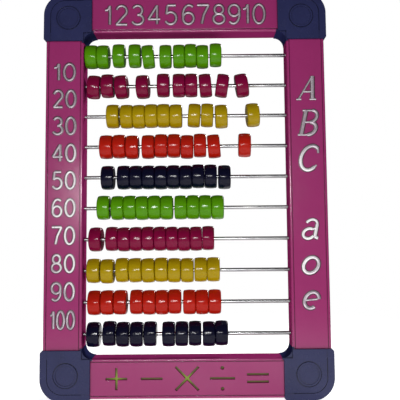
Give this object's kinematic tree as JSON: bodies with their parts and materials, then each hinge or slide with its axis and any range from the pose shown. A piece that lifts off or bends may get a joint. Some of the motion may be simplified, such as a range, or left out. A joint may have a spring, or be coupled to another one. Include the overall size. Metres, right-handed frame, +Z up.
{
  "type": "abacus",
  "caption": "Child's counting frame: coloured beads slide on steel wires across an upright plastic frame with rounded corner pieces.",
  "frame": {"origin": "on the surface the frame stands on, under the middle of its width and depth", "axes": "+Z up along the height, +X to the right as seen from the front, +Y from the front to the back"},
  "size_m": [0.17, 0.017, 0.241],
  "materials": {
    "rail_plastic": "glossy moulded magenta plastic",
    "corner_plastic": "satin-gloss moulded navy plastic",
    "sign_plastic": "plain olive green plastic",
    "wire_steel": "bright drawn steel",
    "bead_green": "high-gloss moulded plastic",
    "bead_raspberry": "high-gloss moulded plastic",
    "bead_yellow": "high-gloss moulded plastic",
    "bead_red": "high-gloss moulded plastic",
    "bead_navy": "high-gloss moulded plastic",
    "silver_foil": "hot-stamped silver foil on raised numerals"
  },
  "bodies": {
    "frame": {"top_rail": "rail_plastic", "bottom_rail": "rail_plastic", "left_rail": "rail_plastic", "right_rail": "rail_plastic", "top_rail_cover": "rail_plastic", "bottom_rail_cover": "rail_plastic", "left_rail_cover": "rail_plastic", "right_rail_cover": "rail_plastic", "top_left_corner_front": "corner_plastic", "top_right_corner_front": "corner_plastic", "bottom_left_corner_front": "corner_plastic", "bottom_right_corner_front": "corner_plastic", "top_left_corner_back": "corner_plastic", "top_right_corner_back": "corner_plastic", "bottom_left_corner_back": "corner_plastic", "bottom_right_corner_back": "corner_plastic", "sign_strip": "sign_plastic", "row_wires": "wire_steel"},
    "row_1_beads_1_to_2": {"row_1_beads_1_to_2": "bead_green"},
    "row_1_bead_3": {"row_1_bead_3": "bead_green"},
    "row_1_bead_4": {"row_1_bead_4": "bead_green"},
    "row_1_bead_5": {"row_1_bead_5": "bead_green"},
    "row_1_bead_6": {"row_1_bead_6": "bead_green"},
    "row_1_beads_7_to_9": {"row_1_beads_7_to_9": "bead_green"},
    "row_1_bead_10": {"row_1_bead_10": "bead_green"},
    "row_2_bead_1": {"row_2_bead_1": "bead_raspberry"},
    "row_2_beads_2_to_3": {"row_2_beads_2_to_3": "bead_raspberry"},
    "row_2_bead_4": {"row_2_bead_4": "bead_raspberry"},
    "row_2_bead_5": {"row_2_bead_5": "bead_raspberry"},
    "row_2_beads_6_to_7": {"row_2_beads_6_to_7": "bead_raspberry"},
    "row_2_bead_8": {"row_2_bead_8": "bead_raspberry"},
    "row_2_bead_9": {"row_2_bead_9": "bead_raspberry"},
    "row_2_bead_10": {"row_2_bead_10": "bead_raspberry"},
    "row_3_bead_1": {"row_3_bead_1": "bead_yellow"},
    "row_3_beads_2_to_6": {"row_3_beads_2_to_6": "bead_yellow"},
    "row_3_beads_7_to_8": {"row_3_beads_7_to_8": "bead_yellow"},
    "row_3_bead_9": {"row_3_bead_9": "bead_yellow"},
    "row_3_bead_10": {"row_3_bead_10": "bead_yellow"},
    "row_4_beads_1_to_3": {"row_4_beads_1_to_3": "bead_red"},
    "row_4_beads_4_to_8": {"row_4_beads_4_to_8": "bead_red"},
    "row_4_bead_9": {"row_4_bead_9": "bead_red"},
    "row_4_bead_10": {"row_4_bead_10": "bead_red"},
    "row_5_bead_1": {"row_5_bead_1": "bead_navy"},
    "row_5_beads_2_to_9": {"row_5_beads_2_to_9": "bead_navy"},
    "row_5_bead_10": {"row_5_bead_10": "bead_navy"},
    "row_6_bead_1": {"row_6_bead_1": "bead_green"},
    "row_6_beads_2_to_6": {"row_6_beads_2_to_6": "bead_green"},
    "row_6_beads_7_to_10": {"row_6_beads_7_to_10": "bead_green"},
    "row_7_bead_1": {"row_7_bead_1": "bead_raspberry"},
    "row_7_beads_2_to_10": {"row_7_beads_2_to_10": "bead_raspberry"},
    "row_8_beads_1_to_2": {"row_8_beads_1_to_2": "bead_yellow"},
    "row_8_beads_3_to_8": {"row_8_beads_3_to_8": "bead_yellow"},
    "row_8_beads_9_to_10": {"row_8_beads_9_to_10": "bead_yellow"},
    "row_9_beads_1_to_3": {"row_9_beads_1_to_3": "bead_red"},
    "row_9_beads_4_to_7": {"row_9_beads_4_to_7": "bead_red"},
    "row_9_beads_8_to_10": {"row_9_beads_8_to_10": "bead_red"},
    "row_10_bead_1": {"row_10_bead_1": "bead_navy"},
    "row_10_beads_2_to_5": {"row_10_beads_2_to_5": "bead_navy"},
    "row_10_beads_6_to_8": {"row_10_beads_6_to_8": "bead_navy"},
    "row_10_beads_9_to_10": {"row_10_beads_9_to_10": "bead_navy"}
  },
  "joints": [
    {"name": "row_1_beads_1_to_2_slide", "type": "slide", "parent": "frame", "child": "row_1_beads_1_to_2", "axis": [1, 0, 0], "range_m": [-0.00025, 0.00245]},
    {"name": "row_1_bead_3_slide", "type": "slide", "parent": "frame", "child": "row_1_bead_3", "axis": [1, 0, 0], "range_m": [-0.00245, 0.00255]},
    {"name": "row_1_bead_4_slide", "type": "slide", "parent": "frame", "child": "row_1_bead_4", "axis": [1, 0, 0], "range_m": [-0.00255, 0.00025]},
    {"name": "row_1_bead_5_slide", "type": "slide", "parent": "frame", "child": "row_1_bead_5", "axis": [1, 0, 0], "range_m": [-0.00025, 0.00275]},
    {"name": "row_1_bead_6_slide", "type": "slide", "parent": "frame", "child": "row_1_bead_6", "axis": [1, 0, 0], "range_m": [-0.00275, 0.00105]},
    {"name": "row_1_beads_7_to_9_slide", "type": "slide", "parent": "frame", "child": "row_1_beads_7_to_9", "axis": [1, 0, 0], "range_m": [-0.00105, 0.00085]},
    {"name": "row_1_bead_10_slide", "type": "slide", "parent": "frame", "child": "row_1_bead_10", "axis": [1, 0, 0], "range_m": [-0.00085, 0.0389]},
    {"name": "row_2_bead_1_slide", "type": "slide", "parent": "frame", "child": "row_2_bead_1", "axis": [1, 0, 0], "range_m": [-0.00102, 0.00037]},
    {"name": "row_2_beads_2_to_3_slide", "type": "slide", "parent": "frame", "child": "row_2_beads_2_to_3", "axis": [1, 0, 0], "range_m": [-0.00037, 0.00447]},
    {"name": "row_2_bead_4_slide", "type": "slide", "parent": "frame", "child": "row_2_bead_4", "axis": [1, 0, 0], "range_m": [-0.00447, 0.00445]},
    {"name": "row_2_bead_5_slide", "type": "slide", "parent": "frame", "child": "row_2_bead_5", "axis": [1, 0, 0], "range_m": [-0.00445, 0.00205]},
    {"name": "row_2_beads_6_to_7_slide", "type": "slide", "parent": "frame", "child": "row_2_beads_6_to_7", "axis": [1, 0, 0], "range_m": [-0.00205, 0.00057]},
    {"name": "row_2_bead_8_slide", "type": "slide", "parent": "frame", "child": "row_2_bead_8", "axis": [1, 0, 0], "range_m": [-0.00057, 0.00127]},
    {"name": "row_2_bead_9_slide", "type": "slide", "parent": "frame", "child": "row_2_bead_9", "axis": [1, 0, 0], "range_m": [-0.00127, 0.00252]},
    {"name": "row_2_bead_10_slide", "type": "slide", "parent": "frame", "child": "row_2_bead_10", "axis": [1, 0, 0], "range_m": [-0.00252, 0.02217]},
    {"name": "row_3_bead_1_slide", "type": "slide", "parent": "frame", "child": "row_3_bead_1", "axis": [1, 0, 0], "range_m": [-0.0133, 0.00085]},
    {"name": "row_3_beads_2_to_6_slide", "type": "slide", "parent": "frame", "child": "row_3_beads_2_to_6", "axis": [1, 0, 0], "range_m": [-0.00085, 0.00318]},
    {"name": "row_3_beads_7_to_8_slide", "type": "slide", "parent": "frame", "child": "row_3_beads_7_to_8", "axis": [1, 0, 0], "range_m": [-0.00318, 0.0005]},
    {"name": "row_3_bead_9_slide", "type": "slide", "parent": "frame", "child": "row_3_bead_9", "axis": [1, 0, 0], "range_m": [-0.0005, 0.0107]},
    {"name": "row_3_bead_10_slide", "type": "slide", "parent": "frame", "child": "row_3_bead_10", "axis": [1, 0, 0], "range_m": [-0.0107, 0.0161]},
    {"name": "row_4_beads_1_to_3_slide", "type": "slide", "parent": "frame", "child": "row_4_beads_1_to_3", "axis": [1, 0, 0], "range_m": [-0.00925, 0.00205]},
    {"name": "row_4_beads_4_to_8_slide", "type": "slide", "parent": "frame", "child": "row_4_beads_4_to_8", "axis": [1, 0, 0], "range_m": [-0.00205, 0.00027]},
    {"name": "row_4_bead_9_slide", "type": "slide", "parent": "frame", "child": "row_4_bead_9", "axis": [1, 0, 0], "range_m": [-0.00027, 0.01002]},
    {"name": "row_4_bead_10_slide", "type": "slide", "parent": "frame", "child": "row_4_bead_10", "axis": [1, 0, 0], "range_m": [-0.01002, 0.0214]},
    {"name": "row_5_bead_1_slide", "type": "slide", "parent": "frame", "child": "row_5_bead_1", "axis": [1, 0, 0], "range_m": [-0.0103, 0.00215]},
    {"name": "row_5_beads_2_to_9_slide", "type": "slide", "parent": "frame", "child": "row_5_beads_2_to_9", "axis": [1, 0, 0], "range_m": [-0.00215, 0.00075]},
    {"name": "row_5_bead_10_slide", "type": "slide", "parent": "frame", "child": "row_5_bead_10", "axis": [1, 0, 0], "range_m": [-0.00075, 0.03425]},
    {"name": "row_6_bead_1_slide", "type": "slide", "parent": "frame", "child": "row_6_bead_1", "axis": [1, 0, 0], "range_m": [-0.00795, 0.00105]},
    {"name": "row_6_beads_2_to_6_slide", "type": "slide", "parent": "frame", "child": "row_6_beads_2_to_6", "axis": [1, 0, 0], "range_m": [-0.00105, 0.00095]},
    {"name": "row_6_beads_7_to_10_slide", "type": "slide", "parent": "frame", "child": "row_6_beads_7_to_10", "axis": [1, 0, 0], "range_m": [-0.00095, 0.0385]},
    {"name": "row_7_bead_1_slide", "type": "slide", "parent": "frame", "child": "row_7_bead_1", "axis": [1, 0, 0], "range_m": [-0.00305, 0.00195]},
    {"name": "row_7_beads_2_to_10_slide", "type": "slide", "parent": "frame", "child": "row_7_beads_2_to_10", "axis": [1, 0, 0], "range_m": [-0.00195, 0.04445]},
    {"name": "row_8_beads_1_to_2_slide", "type": "slide", "parent": "frame", "child": "row_8_beads_1_to_2", "axis": [1, 0, 0], "range_m": [-0.00215, 0.00135]},
    {"name": "row_8_beads_3_to_8_slide", "type": "slide", "parent": "frame", "child": "row_8_beads_3_to_8", "axis": [1, 0, 0], "range_m": [-0.00135, 0.00035]},
    {"name": "row_8_beads_9_to_10_slide", "type": "slide", "parent": "frame", "child": "row_8_beads_9_to_10", "axis": [1, 0, 0], "range_m": [-0.00035, 0.0413]},
    {"name": "row_9_beads_1_to_3_slide", "type": "slide", "parent": "frame", "child": "row_9_beads_1_to_3", "axis": [1, 0, 0], "range_m": [-0.0028, 0.00215]},
    {"name": "row_9_beads_4_to_7_slide", "type": "slide", "parent": "frame", "child": "row_9_beads_4_to_7", "axis": [1, 0, 0], "range_m": [-0.00215, 0.0012]},
    {"name": "row_9_beads_8_to_10_slide", "type": "slide", "parent": "frame", "child": "row_9_beads_8_to_10", "axis": [1, 0, 0], "range_m": [-0.0012, 0.04075]},
    {"name": "row_10_bead_1_slide", "type": "slide", "parent": "frame", "child": "row_10_bead_1", "axis": [1, 0, 0], "range_m": [-0.0023, 0.00195]},
    {"name": "row_10_beads_2_to_5_slide", "type": "slide", "parent": "frame", "child": "row_10_beads_2_to_5", "axis": [1, 0, 0], "range_m": [-0.00195, 0.00335]},
    {"name": "row_10_beads_6_to_8_slide", "type": "slide", "parent": "frame", "child": "row_10_beads_6_to_8", "axis": [1, 0, 0], "range_m": [-0.00335, 0.0007]},
    {"name": "row_10_beads_9_to_10_slide", "type": "slide", "parent": "frame", "child": "row_10_beads_9_to_10", "axis": [1, 0, 0], "range_m": [-0.0007, 0.0369]}
  ]
}
